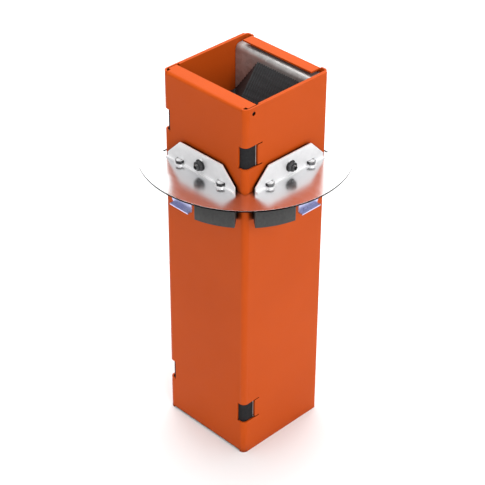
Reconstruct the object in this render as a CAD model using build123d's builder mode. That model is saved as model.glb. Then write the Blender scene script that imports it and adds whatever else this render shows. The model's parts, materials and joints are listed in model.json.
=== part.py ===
"""Square fire-rated cable pathway sleeve with a round steel floor collar.

Frame: millimetres, +Z up along the sleeve, origin at the centre of its lower end.
The sleeve's walls face -Y (front left), +X (front right), +Y (rear right) and -X (rear left).
"""
from build123d import *
from math import cos, radians, sin, sqrt, tan
import os

os.makedirs("parts", exist_ok=True)

# ---- sleeve: two nested steel channels ----
side = 97.0              # outside width of the square sleeve
length = 355.6           # overall height, flange to flange
sheet = 1.5              # channel steel
corner_radius = 5.0      # outside bend radius of the four long corners
front_flange_width = 14.0    # end flanges of the -Y wall, from the outside face
rear_flange_width = 12.8     # end flanges of the +Y wall
flange_bend = 3.0        # outside bend radius of the end flanges
flange_side_gap = 0.7    # front flange's ends to the side walls
rear_flange_relief = 9.0     # the rear flanges stop this far short of the sleeve's sides
nest_gap = 0.15          # play between the nested channels
side_hole_radius = 1.9   # small hole high on each side wall
side_hole_inset = 9.3    # from the corner face
side_hole_drop = 5.6     # from the upper end

# ---- retaining tongues, folded in from windows at the front corners ----
tongue_height = 20.5
tongue_end_distance = 35.0     # from the sleeve's end to the near edge of the window
window_front_reach = 8.2       # window on the -Y wall, from the side face
tongue_length = 8.5            # tongue's free end, from the -Y wall's edge of the window
slit_height = 1.0
slit_reach = 3.6               # relief slits run on past the fold
nest_end_gap = 1.0             # fold to the inner channel's edge

# ---- filling: steel pans, intumescent slabs and foam pads ----
front_pan_depth = 12.4   # from the wall's inside face
rear_pan_depth = 14.8
pan_sheet = 0.8
pan_edge_radius = 5.0
pan_play = 0.3           # pan to the side walls
pan_end_gap = 3.1        # pan to the flanges
slab_play = 0.2
pad_joint_gap = 0.3      # pad back to pan face
pad_meeting_gap = 0.4    # from the middle plane
pad_side_play = 0.4
pad_end_inset = 11.2     # from the sleeve's end to the pad's tip
pad_ramp_height = 43.0   # height of the sloping lead-in
pad_corner_width = 26.5  # one corner at each end of the pad's outline is cut back
pad_corner_height = 35.6
tongue_play = 1.2        # room cut in the pad round each tongue

# ---- floor collar ----
plate_overhang = 17.0    # plate's rim beyond the skirts' circle
plate_sheet = 1.5
plate_level = 278.0      # upper face of the plate, as set on the sleeve
plate_clearance = 0.9    # plate opening to sleeve
split_gap = 0.2          # between the two plate halves
gasket_thickness = 2.0
gasket_rim = 3.0         # gasket's outer edge to the plate's rim
gasket_gap = 3.0         # gasket's inner edge to the skirts' circle

bracket_gap = 2.6        # bracket to sleeve
bracket_sheet = 1.2
bracket_base = 80.0
bracket_top = 50.0
bracket_height = 20.0
bracket_end_height = 4.6
bracket_lip = 2.0        # lip on the plate, beyond the upright

bolt_radius = 2.0        # M4
bolt_play = 0.2          # bolts and clamp screws to their holes
bolt_head_across = 7.0
bolt_head_height = 2.8
bolt_nut_height = 3.2
bolt_spread = 24.4       # each side of the bracket's middle
bolt_out = 0.6           # bolt axis to the upright's outer face
bolt_head_play = 0.4     # head to the notch in the upright
bolt_ear_radius = 4.7    # round ears on the lip
bolt_tail = 1.6
bolt_bite = 12.2         # skirt bolt's length in the skirt
bolt_bite_spare = 1.0    # its hole runs on past the end

clamp_height = 9.0       # clamp screw axis above the plate
clamp_radius = 2.5       # M5
clamp_nut_across = 8.0
clamp_nut_height = 3.2
clamp_washer_radius = 5.2
clamp_washer_sheet = 0.8
clamp_tail = 2.0         # screw end beyond the nut
clamp_socket_across = 2.6
clamp_socket_depth = 2.2
thread_gap = 0.05        # screws to their nuts and tapped holes
pin_radius = 1.5         # screw tip that carries the pressure disc
pin_gap = 0.1
pin_sleeve_gap = 0.4     # pin's end to the sleeve
disc_radius = 4.2
disc_thickness = 1.0
disc_sleeve_gap = 0.2

skirt_standoff = 8.5     # skirts' circle outside the sleeve's rounded corners
skirt_depth = 26.5       # below the plate
skirt_first_angle = 6.4  # from the corner's diagonal
skirt_last_angle = 34.0
skirt_edge_radius = 0.8

clip_sheet = 1.2
clip_inward = 19.4       # clip's ends, each side of its bolt
clip_outward = 8.6
clip_web_out = 4.4       # bolt axis to the web
clip_depth = 36.0
clip_lip = 5.5
clip_slot_length = 15.0
clip_slot_height = 4.0
clip_slot_drop = 24.0
clip_end_chamfer = 6.0
clip_sleeve_gap = 1.2

# ---- worked out ----
half = side / 2
inside = half - sheet
inner_half = inside - nest_gap          # outside half width of the inner channel
inner_clear = inner_half - sheet        # inside half width of the inner channel
pan_end = sheet + pan_end_gap
outer_side_end = half - (corner_radius - sheet)
front_pan_face = inside - front_pan_depth
fold_inset = half - front_pan_face + pan_play + sheet    # tongue's inner face, from the -Y face
inner_side_end = -(half - fold_inset - nest_end_gap)
tongue_width = window_front_reach + tongue_length        # from the side face to the free end
through = 4 * sheet                                      # cuts run well past both faces of a wall
overrun = 2.0                                            # and on past an open end

corner_reach = sqrt(2) * (half - corner_radius) + corner_radius
skirt_radius = corner_reach + skirt_standoff             # 75 mm: enters a 152 mm cored hole
plate_radius = skirt_radius + plate_overhang             # 92 mm
plate_under = plate_level - plate_sheet
opening_half = half + plate_clearance
bolt_hole_radius = bolt_radius + bolt_play
clamp_hole_radius = clamp_radius + bolt_play
bolt_notch_half = bolt_head_across / sqrt(3) + bolt_head_play
bolt_notch_height = bolt_head_height + bolt_head_play
clip_near = bolt_spread - clip_inward
clip_far = bolt_spread + clip_outward
bracket_face = half + bracket_gap + bracket_sheet      # upright's outer face
bolt_line = bracket_face + bolt_out
lip_top = plate_level + bracket_sheet
clamp_level = plate_level + clamp_height

faces = {"front_left": 0, "front_right": 90, "rear_right": 180, "rear_left": 270}


def wall_plane(turn, out, height=0.0):
    """Plane parallel to a wall: x along the wall, y up, z outward."""
    normal = (sin(radians(turn)), -cos(radians(turn)), 0)
    along = (cos(radians(turn)), sin(radians(turn)), 0)
    return Plane(origin=(normal[0] * out, normal[1] * out, height), x_dir=along, z_dir=normal)


def level_plane(turn, height):
    """Horizontal plane: x along the wall, -y outward."""
    along = (cos(radians(turn)), sin(radians(turn)), 0)
    return Plane(origin=(0, 0, height), x_dir=along, z_dir=(0, 0, 1))


def end_plane(turn, along_wall):
    """Plane across a wall: x outward, y up, at a place along the wall."""
    normal = (sin(radians(turn)), -cos(radians(turn)), 0)
    along = (cos(radians(turn)), sin(radians(turn)), 0)
    origin = (along[0] * along_wall, along[1] * along_wall, 0)
    return Plane(origin=origin, x_dir=normal, z_dir=(-along[0], -along[1], 0))


def near_corner(turn):
    """+1 or -1: the way along a wall to the front or rear corner."""
    return 1 if turn % 180 == 0 else -1


def save(piece, name):
    piece.part.label = name
    export_step(piece.part, f"parts/{name}.step")


def flanged_wall_profile(flange_width):
    """Section of a wall with its two end flanges: x outward, y up."""
    with BuildSketch() as profile:
        with Locations((half - flange_width / 2, length / 2)):
            Rectangle(flange_width, length)
        fillet(profile.vertices().group_by(Axis.X)[-1], flange_bend)
        with Locations((half - flange_width / 2 - sheet, length / 2)):
            Rectangle(flange_width, length - 2 * sheet, mode=Mode.SUBTRACT)
        inner = profile.vertices().filter_by(lambda v: abs(v.X - half + sheet) < 0.01)
        fillet(inner, flange_bend - sheet)
    return profile.sketch


def rounded_block(half_width, closed_end, open_end, radius):
    """Plan outline from two rounded corners at closed_end to two square ones at open_end."""
    with BuildSketch() as outline:
        with Locations((0, (closed_end + open_end) / 2)):
            Rectangle(2 * half_width, abs(open_end - closed_end))
        fillet(outline.vertices().filter_by(lambda v: abs(v.Y - closed_end) < 0.01), radius)
    return outline.sketch


def filling_section(inner, outer, end, radius):
    """Section of a pan or slab with rounded inner edges: x outward, y up, end from both sleeve ends."""
    with BuildSketch() as section:
        with Locations(((inner + outer) / 2, length / 2)):
            Rectangle(outer - inner, length - 2 * end)
        fillet(section.vertices().group_by(Axis.X)[0], radius)
    return section.sketch


def wall_corners(filling):
    """Upright edges of a pan or slab beside its wall."""
    return filling.edges().filter_by(Axis.Z).filter_by(lambda e: abs(e.center().Y) > inside - 2 * slab_play)


# ---- outer channel: -Y wall and both side walls ----
window_levels = [
    length - tongue_end_distance - tongue_height / 2,
    tongue_end_distance + tongue_height / 2,
]
slit_level = (tongue_height - slit_height) / 2
tongue_free_height = tongue_height - 2 * slit_height
fold_middle = -half + fold_inset - sheet / 2
with BuildPart() as outer_channel:
    with BuildSketch():
        add(rounded_block(half, -half, outer_side_end, corner_radius))
        add(rounded_block(inside, -inside, outer_side_end + overrun, corner_radius - sheet), mode=Mode.SUBTRACT)
    extrude(amount=length)
    bend_half = half - corner_radius
    with Locations((0, -half, 0), (0, -half, length)):
        Box(2 * bend_half, through, 2 * flange_bend, mode=Mode.SUBTRACT)
    with BuildSketch(end_plane(0, bend_half)):
        add(flanged_wall_profile(front_flange_width))
    extrude(amount=2 * bend_half)
    flange_middle = -half + (corner_radius + front_flange_width) / 2
    with Locations((0, flange_middle, sheet / 2), (0, flange_middle, length - sheet / 2)):
        Box(2 * (inside - flange_side_gap), front_flange_width - corner_radius, sheet)
    for level in window_levels:
        for hand in (-1, 1):
            window_middle = hand * (half - (window_front_reach - overrun) / 2)
            with Locations((window_middle, -half + (fold_inset - overrun) / 2, level)):
                Box(window_front_reach + overrun, fold_inset + overrun, tongue_height, mode=Mode.SUBTRACT)
            slit_middle = -half + fold_inset + slit_reach / 2
            with Locations(
                (hand * half, slit_middle, level + slit_level),
                (hand * half, slit_middle, level - slit_level),
            ):
                Box(through, slit_reach, slit_height, mode=Mode.SUBTRACT)
            with Locations((hand * (half - tongue_width / 2), fold_middle, level)):
                Box(tongue_width, sheet, tongue_free_height)
            with Locations((hand * (half - sheet / 2), fold_middle + sheet / 2, level)):
                Box(sheet, 2 * sheet, tongue_free_height)
    with Locations(Plane.YZ):
        with Locations((-half + side_hole_inset, length - side_hole_drop)):
            Hole(side_hole_radius)
save(outer_channel, "outer_channel")

# ---- inner channel: +Y wall, its side walls slide inside the outer ones ----
with BuildPart() as inner_channel:
    with BuildSketch():
        add(rounded_block(inner_half, half, inner_side_end, corner_radius - sheet))
        add(
            rounded_block(inner_clear, inside, inner_side_end - overrun, corner_radius - 2 * sheet),
            mode=Mode.SUBTRACT,
        )
    extrude(amount=length)
    bend_half = half - rear_flange_relief
    with Locations((0, half, 0), (0, half, length)):
        Box(2 * bend_half, through, 2 * flange_bend, mode=Mode.SUBTRACT)
    with BuildSketch(end_plane(180, bend_half)):
        add(flanged_wall_profile(rear_flange_width))
    extrude(amount=2 * bend_half)
save(inner_channel, "inner_channel")

# ---- filling of each channel: bent steel pan, intumescent slab, foam pad with sloped lead-ins ----
pad_half = inner_clear - pad_side_play
for name, turn, half_width, pan_depth in (
    ("front", 0, inside - pan_play, front_pan_depth),
    ("rear", 180, inner_clear - pan_play, rear_pan_depth),
):
    pan_face = inside - pan_depth
    with BuildPart() as pan:
        with BuildSketch(end_plane(turn, half_width)):
            add(filling_section(pan_face, inside - slab_play, pan_end, pan_edge_radius))
            add(
                filling_section(
                    pan_face + pan_sheet, inside + overrun, pan_end + pan_sheet, pan_edge_radius - pan_sheet
                ),
                mode=Mode.SUBTRACT,
            )
        extrude(amount=2 * half_width)
        fillet(wall_corners(pan), corner_radius)
    save(pan, f"{name}_pan")

    with BuildPart() as slab:
        slab_face = pan_face + pan_sheet + slab_play
        slab_end = pan_end + pan_sheet + slab_play
        with BuildSketch(end_plane(turn, half_width)):
            add(filling_section(slab_face, inside - slab_play, slab_end, pan_edge_radius - pan_sheet))
        extrude(amount=2 * half_width)
        fillet(wall_corners(slab), corner_radius)
    save(slab, f"{name}_slab")

    pad_back = pan_face - pad_joint_gap
    with BuildPart() as pad:
        with BuildSketch(end_plane(turn, pad_half)):
            with BuildLine():
                Polyline(
                    (pad_back, pad_end_inset),
                    (pad_back, length - pad_end_inset),
                    (pad_meeting_gap, length - pad_end_inset - pad_ramp_height),
                    (pad_meeting_gap, pad_end_inset + pad_ramp_height),
                    close=True,
                )
            make_face()
        extrude(amount=2 * pad_half)
        with BuildSketch(wall_plane(turn, pad_back)):
            for end, inward in ((pad_end_inset, 1), (length - pad_end_inset, -1)):
                with BuildLine():
                    Polyline(
                        (pad_half, end),
                        (pad_half - pad_corner_width, end),
                        (pad_half, end + inward * pad_corner_height),
                        close=True,
                    )
                make_face()
        extrude(amount=-pad_back, mode=Mode.SUBTRACT)
        if name == "front":
            notch_reach = pad_half - half + tongue_width + tongue_play
            notch_depth = pad_back - half + fold_inset + tongue_play
            for level in window_levels:
                with Locations((-pad_half, -pad_back, level), (pad_half, -pad_back, level)):
                    Box(2 * notch_reach, 2 * notch_depth, tongue_height + 2 * tongue_play, mode=Mode.SUBTRACT)
    save(pad, f"{name}_pad")

# ---- floor plate and gasket, each in two halves split through the side corners ----
for name, turn in (("front", -45), ("rear", 135)):
    with BuildPart() as plate_half:
        with BuildSketch(Plane.XY.offset(plate_under)):
            Circle(plate_radius)
            Rectangle(2 * opening_half, 2 * opening_half, mode=Mode.SUBTRACT)
            for wall_turn in faces.values():
                for hand in (-1, 1):
                    hole = Vector(hand * bolt_spread, -bolt_line).rotate(Axis.Z, wall_turn)
                    with Locations((hole.X, hole.Y)):
                        Circle(bolt_hole_radius, mode=Mode.SUBTRACT)
            with Locations(Location((0, 0), turn)):
                Rectangle(
                    2 * plate_radius, 4 * plate_radius, align=(Align.MAX, Align.CENTER), mode=Mode.SUBTRACT
                )
                Rectangle(split_gap, 4 * plate_radius, mode=Mode.SUBTRACT)
        extrude(amount=plate_sheet)
    save(plate_half, f"{name}_plate_half")
    with BuildPart() as gasket_half:
        with BuildSketch(Plane.XY.offset(plate_under - gasket_thickness)):
            Circle(plate_radius - gasket_rim)
            Circle(skirt_radius + gasket_gap, mode=Mode.SUBTRACT)
            with Locations(Location((0, 0), turn)):
                Rectangle(
                    2 * plate_radius, 4 * plate_radius, align=(Align.MAX, Align.CENTER), mode=Mode.SUBTRACT
                )
                Rectangle(split_gap, 4 * plate_radius, mode=Mode.SUBTRACT)
        extrude(amount=gasket_thickness)
    save(gasket_half, f"{name}_gasket_half")

# ---- one bracket, skirt, clip, clamp screw and pressure disc on each wall ----
nut_start = bracket_face + clamp_washer_sheet
screw_end = nut_start + clamp_nut_height + clamp_tail
upright_back = bracket_face - bracket_sheet
clip_web = bolt_line + clip_web_out
clip_back = half + clip_sleeve_gap
clip_floor = plate_under - clip_depth
skirt_first = 45 + skirt_first_angle       # angles from the wall's own direction
skirt_last = 45 + skirt_last_angle


def skirt_points(toward_corner, angle):
    """Where a ray from the sleeve's middle leaves the plate's opening and the skirts' circle."""
    inner = (toward_corner * opening_half / tan(radians(angle)), -opening_half)
    outer = (toward_corner * skirt_radius * cos(radians(angle)), -skirt_radius * sin(radians(angle)))
    return inner, outer


for name, turn in faces.items():
    toward_corner = near_corner(turn)

    with BuildPart() as bracket:
        with BuildSketch(wall_plane(turn, upright_back, plate_level)):
            with BuildLine():
                Polyline(
                    (-bracket_base / 2, 0),
                    (bracket_base / 2, 0),
                    (bracket_base / 2, bracket_end_height),
                    (bracket_top / 2, bracket_height),
                    (-bracket_top / 2, bracket_height),
                    (-bracket_base / 2, bracket_end_height),
                    close=True,
                )
            make_face()
        extrude(amount=bracket_sheet)
        with BuildSketch(level_plane(turn, plate_level)):
            with Locations((0, -bracket_face - bracket_lip)):
                Rectangle(bracket_base, bracket_lip + bracket_sheet, align=(Align.CENTER, Align.MIN))
            with Locations((-bolt_spread, -bolt_line), (bolt_spread, -bolt_line)):
                Circle(bolt_ear_radius)
            with Locations((0, -upright_back)):
                Rectangle(bracket_base, half, align=(Align.CENTER, Align.MIN), mode=Mode.SUBTRACT)
        extrude(amount=bracket_sheet)
        with BuildSketch(wall_plane(turn, upright_back, lip_top)):
            with Locations((-bolt_spread, 0), (bolt_spread, 0)):
                Rectangle(2 * bolt_notch_half, bolt_notch_height, align=(Align.CENTER, Align.MIN))
        extrude(amount=bracket_sheet, mode=Mode.SUBTRACT)
        with BuildSketch(level_plane(turn, plate_level)):
            with Locations((-bolt_spread, -bolt_line), (bolt_spread, -bolt_line)):
                Circle(bolt_hole_radius)
        extrude(amount=bracket_sheet, mode=Mode.SUBTRACT)
        with BuildSketch(wall_plane(turn, upright_back, clamp_level)):
            Circle(clamp_hole_radius)
        extrude(amount=bracket_sheet, mode=Mode.SUBTRACT)
    save(bracket, f"bracket_{name}")

    with BuildPart() as skirt:
        near_inner, near_outer = skirt_points(toward_corner, skirt_first)
        far_inner, far_outer = skirt_points(toward_corner, skirt_last)
        middle_outer = skirt_points(toward_corner, (skirt_first + skirt_last) / 2)[1]
        with BuildSketch(level_plane(turn, plate_under - skirt_depth)):
            with BuildLine():
                Line(near_inner, near_outer)
                ThreePointArc(near_outer, middle_outer, far_outer)
                Line(far_outer, far_inner)
                Line(far_inner, near_inner)
            make_face()
        extrude(amount=skirt_depth)
        fillet(skirt.edges().filter_by(Axis.Z), skirt_edge_radius)
        with BuildSketch(level_plane(turn, plate_under)):
            with Locations((toward_corner * bolt_spread, -bolt_line)):
                Circle(bolt_radius + thread_gap)
        extrude(amount=-bolt_bite - bolt_bite_spare, mode=Mode.SUBTRACT)
    save(skirt, f"skirt_{name}")

    with BuildPart() as clip:
        far_end = -toward_corner * clip_far
        with BuildSketch(end_plane(turn, -toward_corner * clip_near)):
            with BuildLine():
                Polyline(
                    (clip_back, plate_under),
                    (clip_web + clip_sheet, plate_under),
                    (clip_web + clip_sheet, clip_floor + clip_sheet),
                    (clip_web + clip_lip, clip_floor + clip_sheet),
                    (clip_web + clip_lip, clip_floor),
                    (clip_web, clip_floor),
                    (clip_web, plate_under - clip_sheet),
                    (clip_back, plate_under - clip_sheet),
                    close=True,
                )
            make_face()
        extrude(amount=toward_corner * (clip_far - clip_near))
        with BuildSketch(wall_plane(turn, clip_web, plate_under - clip_slot_drop)):
            with Locations((-toward_corner * (clip_near + clip_far) / 2, 0)):
                SlotOverall(clip_slot_length, clip_slot_height)
        extrude(amount=clip_sheet, mode=Mode.SUBTRACT)
        with BuildSketch(wall_plane(turn, clip_web, clip_floor)):
            with BuildLine():
                Polyline(
                    (far_end, 0),
                    (far_end + toward_corner * clip_end_chamfer, 0),
                    (far_end, 2 * clip_end_chamfer),
                    close=True,
                )
            make_face()
        extrude(amount=clip_lip, mode=Mode.SUBTRACT)
        with BuildSketch(level_plane(turn, plate_under)):
            with Locations((-toward_corner * bolt_spread, -bolt_line)):
                Circle(bolt_hole_radius)
        extrude(amount=-clip_sheet, mode=Mode.SUBTRACT)
    save(clip, f"clip_{name}")

    with BuildPart() as clamp_screw:
        with BuildSketch(wall_plane(turn, upright_back, clamp_level)):
            Circle(clamp_radius)
        extrude(amount=screw_end - upright_back)
        with BuildSketch(wall_plane(turn, half + pin_sleeve_gap, clamp_level)):
            Circle(pin_radius)
        extrude(amount=upright_back - half - pin_sleeve_gap)
        with BuildSketch(wall_plane(turn, screw_end, clamp_level)):
            RegularPolygon(clamp_socket_across / sqrt(3), 6)
        extrude(amount=-clamp_socket_depth, mode=Mode.SUBTRACT)
    save(clamp_screw, f"clamp_screw_{name}")

    with BuildPart() as pressure_disc:
        with BuildSketch(wall_plane(turn, half + disc_sleeve_gap, clamp_level)):
            Circle(disc_radius)
            Circle(pin_radius + pin_gap, mode=Mode.SUBTRACT)
        extrude(amount=disc_thickness)
    save(pressure_disc, f"pressure_disc_{name}")

# ---- fasteners that stay with the collar, one group for each kind ----
skirt_bolt_length = bracket_sheet + plate_sheet + bolt_bite
clip_bolt_length = bracket_sheet + plate_sheet + clip_sheet + bolt_nut_height + bolt_tail
for name, hand, shank in (("skirt_bolts", 1, skirt_bolt_length), ("clip_bolts", -1, clip_bolt_length)):
    with BuildPart() as bolts:
        for turn in faces.values():
            place = (hand * near_corner(turn) * bolt_spread, -bolt_line)
            with BuildSketch(level_plane(turn, lip_top)):
                with Locations(place):
                    RegularPolygon(bolt_head_across / sqrt(3), 6)
            extrude(amount=bolt_head_height)
            with BuildSketch(level_plane(turn, lip_top)):
                with Locations(place):
                    Circle(bolt_radius)
            extrude(amount=-shank)
    save(bolts, name)

with BuildPart() as clip_nuts:
    for turn in faces.values():
        with BuildSketch(level_plane(turn, plate_under - clip_sheet)):
            with Locations((-near_corner(turn) * bolt_spread, -bolt_line)):
                RegularPolygon(bolt_head_across / sqrt(3), 6)
                Circle(bolt_radius + thread_gap, mode=Mode.SUBTRACT)
        extrude(amount=-bolt_nut_height)
save(clip_nuts, "clip_nuts")

with BuildPart() as clamp_washers:
    for turn in faces.values():
        with BuildSketch(wall_plane(turn, bracket_face, clamp_level)):
            Circle(clamp_washer_radius)
            Circle(clamp_hole_radius, mode=Mode.SUBTRACT)
        extrude(amount=clamp_washer_sheet)
save(clamp_washers, "clamp_washers")

with BuildPart() as clamp_nuts:
    for turn in faces.values():
        with BuildSketch(wall_plane(turn, nut_start, clamp_level)):
            RegularPolygon(clamp_nut_across / sqrt(3), 6)
            Circle(clamp_radius + thread_gap, mode=Mode.SUBTRACT)
        extrude(amount=clamp_nut_height)
save(clamp_nuts, "clamp_nuts")
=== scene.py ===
"""Looks of the square cable pathway sleeve with its round floor collar.

Metres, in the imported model's frame: +Z up along the sleeve, origin at the centre of its lower end.
"""
import json
from math import cos, floor, pi, radians, sin, tan, tau

import bpy
from mathutils import Matrix, Vector


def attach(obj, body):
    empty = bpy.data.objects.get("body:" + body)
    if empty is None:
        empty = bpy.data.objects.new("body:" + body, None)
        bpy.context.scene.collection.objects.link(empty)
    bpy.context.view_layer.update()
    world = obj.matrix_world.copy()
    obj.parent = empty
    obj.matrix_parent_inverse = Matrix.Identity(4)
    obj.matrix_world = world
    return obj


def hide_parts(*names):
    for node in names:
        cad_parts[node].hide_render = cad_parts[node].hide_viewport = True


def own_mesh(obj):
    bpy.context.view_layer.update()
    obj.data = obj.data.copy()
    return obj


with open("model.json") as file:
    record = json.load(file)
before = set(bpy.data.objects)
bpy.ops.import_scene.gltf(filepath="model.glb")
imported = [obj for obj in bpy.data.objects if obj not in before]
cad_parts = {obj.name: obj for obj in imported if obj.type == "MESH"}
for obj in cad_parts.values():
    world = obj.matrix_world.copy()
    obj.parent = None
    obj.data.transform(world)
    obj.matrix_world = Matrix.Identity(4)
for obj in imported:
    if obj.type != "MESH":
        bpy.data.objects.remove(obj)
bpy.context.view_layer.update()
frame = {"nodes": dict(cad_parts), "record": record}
nodes = frame["nodes"]
MM = 0.001

FACES = {"front_left": 0, "front_right": 90, "rear_right": 180, "rear_left": 270}


# ---------------------------------------------------------------- camera
CAMERA_AZIMUTH = radians(45.14)      # from -Y towards +X
CAMERA_ELEVATION = radians(34.41)
CAMERA_DISTANCE = 1.441
CAMERA_TARGET = Vector((-0.00146, -0.00147, 0.18471))
CAMERA_ROLL = 0.006
CAMERA_LENS = 122.2                  # on a 36 mm sensor


def make_camera():
    camera = bpy.data.objects.new("camera", bpy.data.cameras.new("camera"))
    bpy.context.scene.collection.objects.link(camera)
    back = Vector((
        sin(CAMERA_AZIMUTH) * cos(CAMERA_ELEVATION),
        -cos(CAMERA_AZIMUTH) * cos(CAMERA_ELEVATION),
        sin(CAMERA_ELEVATION),
    ))
    turn = (-back).to_track_quat("-Z", "Y").to_matrix().to_4x4()
    place = Matrix.Translation(CAMERA_TARGET + back * CAMERA_DISTANCE)
    camera.matrix_world = place @ turn @ Matrix.Rotation(CAMERA_ROLL, 4, "Z")
    camera.data.sensor_width = 36
    camera.data.lens = CAMERA_LENS
    camera.data.clip_start = 0.05
    camera.data.clip_end = 50
    bpy.context.scene.camera = camera


# ---------------------------------------------------------------- material helpers
class Surface:
    """A node material with one Principled shader, textured in the object's own metres."""

    def __init__(self, name, **constants):
        self.material = bpy.data.materials.new(name)
        self.material.use_nodes = True
        self.tree = self.material.node_tree
        self.shader = self.tree.nodes["Principled BSDF"]
        self.point = self.tree.nodes.new("ShaderNodeTexCoord").outputs["Object"]
        for socket, value in constants.items():
            self.shader.inputs[socket.replace("_", " ")].default_value = value

    def node(self, kind, **settings):
        made = self.tree.nodes.new(kind)
        for key, value in settings.items():
            setattr(made, key, value)
        return made

    def link(self, source, target):
        self.tree.links.new(source, target)

    def feed(self, socket, source):
        self.link(source, self.shader.inputs[socket])

    def stretched(self, scale):
        """The texture point with its axes scaled."""
        mapping = self.node("ShaderNodeMapping")
        mapping.inputs["Scale"].default_value = scale
        self.link(self.point, mapping.inputs["Vector"])
        return mapping.outputs["Vector"]

    def noise(self, per_metre, detail=2.0, stretch=(1, 1, 1), roughness=0.5):
        texture = self.node("ShaderNodeTexNoise")
        texture.inputs["Scale"].default_value = per_metre
        texture.inputs["Detail"].default_value = detail
        texture.inputs["Roughness"].default_value = roughness
        self.link(self.stretched(stretch), texture.inputs["Vector"])
        return texture.outputs["Fac"]

    def cells(self, per_metre, feature="F1", output="Color"):
        texture = self.node("ShaderNodeTexVoronoi", feature=feature)
        texture.inputs["Scale"].default_value = per_metre
        self.link(self.point, texture.inputs["Vector"])
        return texture.outputs[output]

    def spread(self, source, low, high, from_low=0.3, from_high=0.7):
        """Source values from from_low to from_high become low to high."""
        ranged = self.node("ShaderNodeMapRange")
        ranged.inputs["From Min"].default_value = from_low
        ranged.inputs["From Max"].default_value = from_high
        ranged.inputs["To Min"].default_value = low
        ranged.inputs["To Max"].default_value = high
        self.link(source, ranged.inputs["Value"])
        return ranged.outputs["Result"]

    def blend_colours(self, factor, first, second):
        mix = self.node("ShaderNodeMix", data_type="RGBA")
        self.link(factor, mix.inputs["Factor"])
        for slot, colour in (("A", first), ("B", second)):
            socket = [s for s in mix.inputs if s.name == slot and s.type == "RGBA"][0]
            if isinstance(colour, tuple):
                socket.default_value = (*colour, 1)
            else:
                self.link(colour, socket)
        return [s for s in mix.outputs if s.type == "RGBA"][0]

    def maths(self, operation, *values):
        made = self.node("ShaderNodeMath", operation=operation)
        for socket, value in zip(made.inputs, values):
            if isinstance(value, (int, float)):
                socket.default_value = value
            else:
                self.link(value, socket)
        return made.outputs["Value"]

    def axis_value(self, source, axis):
        split = self.node("ShaderNodeSeparateXYZ")
        self.link(source, split.inputs["Vector"])
        return split.outputs[axis]

    def bump(self, height, distance, strength=1.0, under=None):
        made = self.node("ShaderNodeBump")
        made.inputs["Distance"].default_value = distance
        made.inputs["Strength"].default_value = strength
        self.link(height, made.inputs["Height"])
        if under is not None:
            self.link(under, made.inputs["Normal"])
        self.feed("Normal", made.outputs["Normal"])
        return made.outputs["Normal"]

    def painted_dark_sides(self):
        """1 on upright edges of a level sheet, 0 on its faces; the dark colour mixed in by it is a
        painted dark reflection.
        """
        normal = self.node("ShaderNodeNewGeometry").outputs["True Normal"]
        steep = self.maths("ABSOLUTE", self.axis_value(normal, "Z"))
        return self.maths("LESS_THAN", steep, 0.9)

    def painted_recess_shade(self, reach):
        """Ambient occlusion, 0 deep in a narrow opening, 1 in the open; reach is in metres. Dark colour
        mixed in by it is painted shade.
        """
        shut = self.node("ShaderNodeAmbientOcclusion", samples=8)
        shut.inputs["Distance"].default_value = reach
        return self.spread(shut.outputs["AO"], 0, 1, 0.26, 0.55)


def powder_coat(name, paint_window_shade):
    s = Surface(name, Coat_Weight=0.02, Coat_Roughness=0.2, Specular_IOR_Level=0.05)
    cloud = s.noise(9, 3)
    coat = s.blend_colours(s.spread(cloud, 0, 1), (0.50, 0.069, 0.006), (0.54, 0.078, 0.008))
    # Painted shade: deep in the windows the coat goes near black by ambient occlusion.
    if paint_window_shade:
        coat = s.blend_colours(s.painted_recess_shade(0.016), (0.004, 0.002, 0.001), coat)
    s.feed("Base Color", coat)
    s.feed("Roughness", s.spread(s.noise(60, 3), 0.36, 0.44))
    peel = s.bump(s.noise(650, 2), 0.00006, 0.35)
    s.bump(s.noise(4200, 1), 0.00002, 0.3, under=peel)
    return s.material


def galvanised_steel(name, paint_shade_behind_windows):
    s = Surface(name, Metallic=0.55)
    spangle = s.cells(260)
    grey = s.axis_value(spangle, "X")
    face = s.blend_colours(s.spread(grey, 0, 1, 0, 1), (0.40, 0.39, 0.38), (0.50, 0.49, 0.48))
    # Painted shade: the pan seen through the windows goes near black by ambient occlusion.
    if paint_shade_behind_windows:
        face = s.blend_colours(s.painted_recess_shade(0.03), (0.003, 0.003, 0.003), face)
    s.feed("Base Color", face)
    s.feed("Roughness", s.spread(s.axis_value(spangle, "Y"), 0.36, 0.52, 0, 1))
    s.bump(s.noise(900, 2), 0.00004, 0.3)
    return s.material


def intumescent():
    s = Surface("intumescent", Specular_IOR_Level=0.25)
    s.feed("Base Color", s.blend_colours(s.noise(700, 3), (0.006, 0.006, 0.007), (0.020, 0.020, 0.022)))
    s.feed("Roughness", s.spread(s.noise(300), 0.75, 0.9))
    grain = s.bump(s.noise(1500, 3), 0.0002, 0.5)
    s.bump(s.noise(400, 1, (1, 1, 0.02)), 0.0005, 0.6, under=grain)
    return s.material


def foam():
    s = Surface("foam", Specular_IOR_Level=0.5)
    pores = s.cells(1300, output="Distance")
    streaks = s.spread(s.noise(420, 3, (0.06, 1, 1)), 0, 1)
    grain = s.blend_colours(s.spread(pores, 0, 1, 0.1, 0.7), (0.002, 0.002, 0.003), (0.011, 0.012, 0.013))
    s.feed("Base Color", s.blend_colours(streaks, grain, (0.024, 0.025, 0.027)))
    s.feed("Roughness", s.spread(s.noise(500), 0.42, 0.6))
    cut = s.bump(streaks, 0.0004, 0.4)
    s.bump(pores, 0.0002, 0.35, under=cut)
    return s.material


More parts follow.
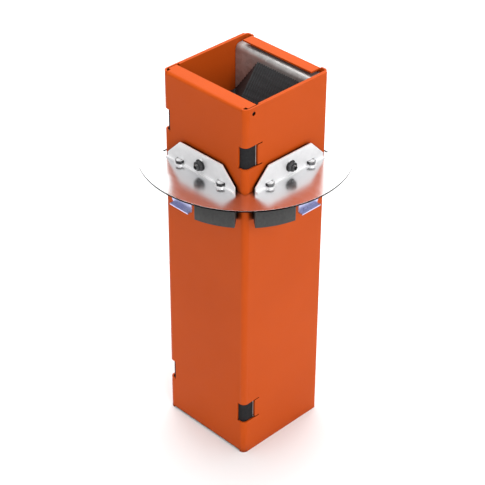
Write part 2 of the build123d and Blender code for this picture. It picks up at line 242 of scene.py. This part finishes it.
def polished_plate():
    s = Surface("polished_steel", Metallic=1.0)
    rolled = s.noise(1400, 3, (0.03, 1, 1))
    face = s.blend_colours(s.spread(rolled, 0, 1), (0.82, 0.82, 0.83), (0.90, 0.90, 0.91))
    # Painted dark reflection on the plate's upright rim.
    s.feed("Base Color", s.blend_colours(s.painted_dark_sides(), face, (0.004, 0.004, 0.005)))
    s.feed("Roughness", s.spread(rolled, 0.19, 0.24))
    s.bump(rolled, 0.00001, 0.15)
    return s.material


def bracket_steel():
    s = Surface("bracket_steel", Metallic=0.45)
    cloud = s.noise(220, 3)
    s.feed("Base Color", s.blend_colours(s.spread(cloud, 0, 1), (0.90, 0.90, 0.91), (0.96, 0.96, 0.97)))
    s.feed("Roughness", s.spread(s.noise(800, 2), 0.32, 0.42))
    s.bump(s.noise(1800, 2), 0.00002, 0.2)
    return s.material


def gasket_rubber():
    s = Surface("gasket_rubber", Specular_IOR_Level=0.4)
    s.feed("Base Color", s.blend_colours(s.noise(500, 3), (0.010, 0.010, 0.010), (0.024, 0.024, 0.024)))
    s.feed("Roughness", s.spread(s.noise(300), 0.6, 0.8))
    s.bump(s.noise(2200, 2), 0.0001, 0.4)
    return s.material


def skirt_composite():
    s = Surface("skirt_composite", Specular_IOR_Level=0.2)
    cloud = s.spread(s.noise(500, 3), 0, 1)
    s.feed("Base Color", s.blend_colours(cloud, (0.038, 0.038, 0.038), (0.052, 0.052, 0.051)))
    s.feed("Roughness", s.spread(s.noise(250, 2), 0.4, 0.55))
    s.bump(s.noise(1600, 2), 0.00002, 0.2)
    return s.material


def clip_steel():
    s = Surface("clip_steel", Metallic=0.9)
    cloud = s.noise(90, 3)
    s.feed("Base Color", s.blend_colours(s.spread(cloud, 0, 1), (0.50, 0.52, 0.80), (0.66, 0.68, 0.88)))
    s.feed("Roughness", s.spread(s.noise(600, 2), 0.25, 0.38))
    s.bump(s.noise(1500, 2), 0.00002, 0.2)
    return s.material


def fastener_zinc():
    s = Surface("fastener_zinc", Metallic=0.4)
    face = s.blend_colours(s.noise(400, 2), (0.86, 0.86, 0.87), (0.93, 0.93, 0.94))
    # Painted dark reflection on the fasteners' upright faces.
    s.feed("Base Color", s.blend_colours(s.painted_dark_sides(), face, (0.05, 0.05, 0.053)))
    s.feed("Roughness", s.spread(s.noise(900, 2), 0.16, 0.28))
    s.bump(s.noise(2500, 2), 0.00002, 0.25)
    return s.material


def pale_floor():
    s = Surface("pale_floor", Specular_IOR_Level=0.1)
    s.feed("Base Color", s.blend_colours(s.noise(3, 2), (0.90, 0.90, 0.90), (0.92, 0.92, 0.92)))
    s.feed("Roughness", s.spread(s.noise(20), 0.75, 0.9))
    return s.material


# ---------------------------------------------------------------- stage
def area_light(name, place, aim, size, power, colour=(1, 1, 1)):
    light = bpy.data.lights.new(name, "AREA")
    light.shape = "RECTANGLE"
    light.size, light.size_y = size
    light.energy = power
    light.color = colour
    holder = bpy.data.objects.new(name, light)
    bpy.context.scene.collection.objects.link(holder)
    holder.location = place
    holder.rotation_euler = (Vector(aim) - Vector(place)).to_track_quat("-Z", "Y").to_euler()


def make_stage():
    mesh = bpy.data.meshes.new("floor")
    reach = 6
    corners = [(-reach, -reach, 0), (reach, -reach, 0), (reach, reach, 0), (-reach, reach, 0)]
    mesh.from_pydata(corners, [], [(0, 1, 2, 3)])
    floor = bpy.data.objects.new("floor", mesh)
    bpy.context.scene.collection.objects.link(floor)
    floor.data.materials.append(pale_floor())

    world = bpy.data.worlds.new("studio")
    bpy.context.scene.world = world
    world.use_nodes = True
    background = world.node_tree.nodes["Background"]
    background.inputs["Color"].default_value = (1, 1, 1, 1)
    background.inputs["Strength"].default_value = 0.55

    middle = (0, 0, 0.2)
    area_light("key", (1.6, -0.5, 1.2), middle, (1.2, 1.2), 18)
    area_light("top", (-0.3, 0.3, 2.0), middle, (1.8, 1.8), 40)
    area_light("card", (-1.6, 1.6, 1.6), middle, (2.4, 2.0), 17)

    view = bpy.context.scene.view_settings
    view.view_transform = "Standard"
    view.look = "None"


# ---------------------------------------------------------------- meshes
class Shell:
    """Gathers points and faces for one closed mesh."""

    def __init__(self):
        self.points = []
        self.faces = []

    def polar(self, place, rings, steps):
        """A closed solid round place's Z axis; each ring gives (radius, height) at an angle."""
        first = len(self.points)
        for ring in rings:
            for step in range(steps):
                angle = tau * step / steps
                radius, height = ring(angle)
                self.points.append(place @ Vector((radius * cos(angle), radius * sin(angle), height)))
        for row in range(len(rings) - 1):
            for step in range(steps):
                a = first + row * steps + step
                b = first + row * steps + (step + 1) % steps
                self.faces.append((a, b, b + steps, a + steps))
        self.faces.append(tuple(reversed(range(first, first + steps))))
        last = first + (len(rings) - 1) * steps
        self.faces.append(tuple(range(last, last + steps)))

    def make(self, name, material, smooth_angle=35):
        mesh = bpy.data.meshes.new(name)
        mesh.from_pydata([tuple(p) for p in self.points], [], self.faces)
        mesh.materials.append(material)
        made = bpy.data.objects.new(name, mesh)
        bpy.context.scene.collection.objects.link(made)
        mesh.set_sharp_from_angle(angle=radians(smooth_angle))
        mesh.polygons.foreach_set("use_smooth", [True] * len(mesh.polygons))
        mesh.update()
        return made


def wall_place(turn, along, out, height, upright=False):
    """Matrix at a wall's own place in mm: Z up, or Z outward when not upright."""
    wall = Matrix.Rotation(radians(turn), 4, "Z")
    spot = Matrix.Translation(Vector((along, -out, height)) * MM)
    return wall @ spot @ (Matrix() if upright else Matrix.Rotation(pi / 2, 4, "X"))


# ---------------------------------------------------------------- fasteners (millimetres, as in the CAD)
BRACKET_FACE = 52.3
BOLT_LINE = 52.9
BOLT_SPREAD = 24.4
PLATE_LEVEL = 278.0
LIP_TOP = 279.2
CLIP_UNDER = 275.3        # under the clips' flanges
CLAMP_LEVEL = 287.0
BOLT_RADIUS = 2.0
BOLT_PITCH = 0.7
BOLT_ACROSS = 7.0
BOLT_HEAD = 2.8
BOLT_NUT = 3.2
SKIRT_BOLT_SHANK = 14.9
CLIP_BOLT_SHANK = 8.7
CLAMP_RADIUS = 2.5
CLAMP_PITCH = 0.8
CLAMP_ACROSS = 8.0
CLAMP_NUT = 3.2
CLAMP_WASHER_RADIUS = 5.2
CLAMP_WASHER = 0.8
CLAMP_START = 51.1        # screw's thread begins at the bracket's back
CLAMP_END = 58.3
PIN_RADIUS = 1.5
PIN_START = 48.9
SOCKET_RADIUS = 1.45
SOCKET_DEPTH = 2.2
THREAD_SHARE = 0.55       # thread depth as a share of the pitch
THREAD_GAP = 0.05         # bolt to nut, and the shank into its head
FACE_SHARE = 0.94         # round flat inside a hexagon's chamfer, as a share of its half width
WASHER_FACE = 0.2         # step under a bolt's head
BORE_BREAK = 0.25         # chamfer round a nut's bore
DISH_SHARES = (0.82, 0.76)    # shallow dish in a bolt's head
DISH_DEPTH = 0.12
SOCKET_POINT = 0.4        # drilled point below the socket
HEAD_STEPS = 72
BOLT_STEPS = 24
CLAMP_STEPS = 36
CHAMFER = radians(30)


def fixed(radius, height):
    return lambda angle: (radius * MM, height * MM)


def hexagon(across, height, face_radius=None):
    """A ring on a hexagon; with a face radius, its corners drop along a 30 degree chamfer."""
    def ring(angle):
        sector = (angle + pi / 6) % (pi / 3) - pi / 6
        radius = across / 2 / cos(sector)
        drop = 0 if face_radius is None else max(0, radius - face_radius) * tan(CHAMFER)
        return radius * MM, (height - drop) * MM
    return ring


def flipped(ring):
    """The ring mirrored in height about z = 0."""
    def mirrored(angle):
        radius, height = ring(angle)
        return radius, -height
    return mirrored


def thread_rings(radius, pitch, low, high, rows_per_turn=6):
    """Rings of a real helix from low to high, in mm, with the ends cut to the root."""
    depth = THREAD_SHARE * pitch
    rows = int((high - low) / pitch * rows_per_turn)
    rings = [fixed(radius - depth, low)]
    for row in range(1, rows):
        height = low + (high - low) * row / rows
        near_end = min(1, (height - low) / pitch, (high - height) / pitch)

        def ring(angle, height=height, near_end=near_end):
            turn = height / pitch - angle / tau
            wave = 1 - abs(2 * (turn - floor(turn)) - 1)
            return (radius - depth + depth * wave * near_end) * MM, height * MM
        rings.append(ring)
    rings.append(fixed(radius - depth, high))
    return rings


def bolt(shell, place, shank):
    """Hexagon head with washer face and chamfered top on z = 0, threaded shank below."""
    face = BOLT_ACROSS / 2 * FACE_SHARE
    shell.polar(place, [
        fixed(face, 0),
        fixed(face, WASHER_FACE),
        hexagon(BOLT_ACROSS, WASHER_FACE * 1.1),
        hexagon(BOLT_ACROSS, BOLT_HEAD, face),
        fixed(face, BOLT_HEAD),
        fixed(face * DISH_SHARES[0], BOLT_HEAD),
        fixed(face * DISH_SHARES[1], BOLT_HEAD - DISH_DEPTH),
    ], HEAD_STEPS)
    shell.polar(place, thread_rings(BOLT_RADIUS, BOLT_PITCH, -shank, THREAD_GAP), BOLT_STEPS)


def nut(shell, place, across, height, bore):
    """Hexagon nut standing on z = 0, chamfered at both faces round its bore."""
    face = across / 2 * FACE_SHARE
    shell.polar(place, [
        fixed(bore, 0.0),
        fixed(face, 0),
        flipped(hexagon(across, 0, face)),
        hexagon(across, height, face),
        fixed(face, height),
        fixed(bore + BORE_BREAK, height),
        fixed(bore, height - BORE_BREAK),
    ], HEAD_STEPS)


def near_corner(turn):
    """+1 or -1: the end of a wall that is at the sleeve's front or rear corner."""
    return 1 if turn in (0, 180) else -1


def make_fasteners(zinc):
    groups = (("skirt_bolts", 1, SKIRT_BOLT_SHANK), ("clip_bolts", -1, CLIP_BOLT_SHANK))
    for node, hand, shank in groups:
        shell = Shell()
        for turn in FACES.values():
            along = hand * near_corner(turn) * BOLT_SPREAD
            bolt(shell, wall_place(turn, along, BOLT_LINE, LIP_TOP, upright=True), shank)
        finish_piece(shell.make(node + "_detail", zinc), "collar", node)

    shell = Shell()
    for turn in FACES.values():
        along = -near_corner(turn) * BOLT_SPREAD
        under = wall_place(turn, along, BOLT_LINE, CLIP_UNDER - BOLT_NUT, upright=True)
        nut(shell, under, BOLT_ACROSS, BOLT_NUT, BOLT_RADIUS + THREAD_GAP)
    finish_piece(shell.make("clip_nuts_detail", zinc), "collar", "clip_nuts")

    shell = Shell()
    for turn in FACES.values():
        place = wall_place(turn, 0, BRACKET_FACE + CLAMP_WASHER, CLAMP_LEVEL)
        nut(shell, place, CLAMP_ACROSS, CLAMP_NUT, CLAMP_RADIUS + THREAD_GAP)
    finish_piece(shell.make("clamp_nuts_detail", zinc), "collar", "clamp_nuts")

    for face, turn in FACES.items():
        shell = Shell()
        length = CLAMP_END - CLAMP_START
        rings = thread_rings(CLAMP_RADIUS, CLAMP_PITCH, 0, length)
        rings = [fixed(PIN_RADIUS, PIN_START - CLAMP_START), fixed(PIN_RADIUS, 0)] + rings
        rings += [
            hexagon(2 * SOCKET_RADIUS, length),
            hexagon(2 * SOCKET_RADIUS, length - SOCKET_DEPTH),
            fixed(0.2, length - SOCKET_DEPTH - SOCKET_POINT),
        ]
        shell.polar(wall_place(turn, 0, CLAMP_START, CLAMP_LEVEL), rings, CLAMP_STEPS)
        piece = shell.make("clamp_screw_detail_" + face, zinc)
        finish_piece(piece, "screw_" + face, "clamp_screw_" + face)


def finish_piece(piece, body, node):
    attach(piece, body)
    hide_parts(node)


# ---------------------------------------------------------------- foam pads (millimetres)
SLEEVE_LENGTH = 355.6
PAD_HALF = 44.95
PAD_FRONT = 0.4           # front face to the middle plane
FRONT_PAD_BACK = 34.3     # each pad's back to the middle plane
REAR_PAD_BACK = 31.9
PAD_TIP = 344.4           # pad's top at its back
PAD_RAMP = 43.0
PAD_CORNER_WIDTH = 26.5
PAD_CORNER_HEIGHT = 35.8
RIB_PITCH = 2.6
RIB_DEPTH = 1.3
FRONT_RIB_SHARE = 0.5     # rib depth on the meeting face
NOTCH_SIDE = 30.4
NOTCH_DEPTH = 4.2         # still clears the tongue when the pad is squeezed
NOTCH_LAYER = 0.05        # keeps the lattice's layers apart inside the notch
NOTCH_LOW = 293.0
NOTCH_HIGH = 327.0
COLUMNS = 138
LAYERS = 26
ROWS = 52


def rib(x):
    return RIB_DEPTH * (0.5 - 0.5 * cos(tau * x / RIB_PITCH))


def pad_top(x, depth, thickness):
    """Height of the pad's upper end: a ramp to the front, cut back at the +x corner."""
    ramp = PAD_TIP - PAD_RAMP * depth / thickness
    along = x - (PAD_HALF - PAD_CORNER_WIDTH) + depth
    hip = PAD_TIP - PAD_CORNER_HEIGHT / PAD_CORNER_WIDTH * max(0, along)
    return min(ramp, max(hip, PAD_TIP - PAD_CORNER_HEIGHT)) - rib(x)


def pad_point(column, layer, row, back, notched):
    """A point of the pad's lattice, with its back towards -y."""
    thickness = back - PAD_FRONT
    x = PAD_HALF * (2 * column / COLUMNS - 1)
    depth = thickness * layer / LAYERS
    top = pad_top(x, depth, thickness)
    z = SLEEVE_LENGTH - top + (2 * top - SLEEVE_LENGTH) * row / ROWS
    if layer == LAYERS:
        depth -= rib(x) * FRONT_RIB_SHARE
    in_notch = NOTCH_LOW < max(z, SLEEVE_LENGTH - z) < NOTCH_HIGH
    if notched and abs(x) > NOTCH_SIDE and in_notch:
        depth = max(depth, NOTCH_DEPTH + NOTCH_LAYER * layer)
    return x, depth - back, z


def make_pad(name, back, turn, notched, material):
    """One ribbed foam pad, built as the skin of a lattice."""
    shell = Shell()
    numbers = {}
    spin = Matrix.Rotation(radians(turn), 4, "Z")

    def corner(column, layer, row):
        key = (column, layer, row)
        if key not in numbers:
            numbers[key] = len(shell.points)
            shell.points.append(spin @ Vector(pad_point(*key, back, notched)) * MM)
        return numbers[key]

    def skin(first, second, spot, outward):
        for a in range(first):
            for b in range(second):
                quad = [corner(*spot(a + i, b + j)) for i, j in ((0, 0), (1, 0), (1, 1), (0, 1))]
                shell.faces.append(tuple(quad if outward else reversed(quad)))

    skin(COLUMNS, ROWS, lambda a, b: (a, 0, b), True)
    skin(COLUMNS, ROWS, lambda a, b: (a, LAYERS, b), False)
    skin(COLUMNS, LAYERS, lambda a, b: (a, b, 0), False)
    skin(COLUMNS, LAYERS, lambda a, b: (a, b, ROWS), True)
    skin(LAYERS, ROWS, lambda a, b: (0, a, b), False)
    skin(LAYERS, ROWS, lambda a, b: (COLUMNS, a, b), True)
    piece = shell.make(name + "_foam_pad", material, 50)
    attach(piece, name + "_foam")
    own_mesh(piece)
    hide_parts(name + "_pad")


# ---------------------------------------------------------------- CAD nodes
EDGE_ROUNDING = {
    "plate_half": 0.1, "bracket": 0.25, "skirt": 0.5, "clip_front": 0.25, "clip_rear": 0.25,
    "pan": 0.15, "channel": 0.2, "washers": 0.12, "disc": 0.15, "gasket": 0.2,
}


WELD_REACH = 0.00001      # metres


def soften_edges(node):
    """Welds the node's facets and rounds its sharp edges."""
    for part, width in EDGE_ROUNDING.items():
        if part in node:
            weld = nodes[node].modifiers.new("weld", "WELD")
            weld.merge_threshold = WELD_REACH
            bevel = nodes[node].modifiers.new("edges", "BEVEL")
            bevel.width = width * MM
            bevel.segments = 2
            bevel.limit_method = "ANGLE"
            bevel.angle_limit = radians(40)
            bevel.harden_normals = True
            return


def finish_nodes():
    """Material of each CAD node, by its slot in the record, and its softened edges."""
    made = {
        "orange_powder_coat": powder_coat("orange_powder_coat", False),
        "galvanised_steel": galvanised_steel("galvanised_steel", False),
        "intumescent": intumescent(),
        "foam": foam(),
        "polished_steel": polished_plate(),
        "bracket_steel": bracket_steel(),
        "gasket_rubber": gasket_rubber(),
        "skirt_composite": skirt_composite(),
        "clip_steel": clip_steel(),
        "fastener_zinc": fastener_zinc(),
    }
    for part in frame["record"]["subparts"]:
        node = part["node"]
        mesh = nodes[node].data
        mesh.materials.clear()
        # The outer channel and the front pan take copies with painted shade in their windows.
        if node == "outer_channel":
            mesh.materials.append(powder_coat("orange_powder_coat_painted_shade", True))
        elif node == "front_pan":
            mesh.materials.append(galvanised_steel("galvanised_steel_shaded", True))
        else:
            mesh.materials.append(made[part["material_slot"]])
        soften_edges(node)
    return made


materials = finish_nodes()
make_fasteners(materials["fastener_zinc"])
make_pad("front", FRONT_PAD_BACK, 0, True, materials["foam"])
make_pad("rear", REAR_PAD_BACK, 180, False, materials["foam"])
make_camera()
make_stage()
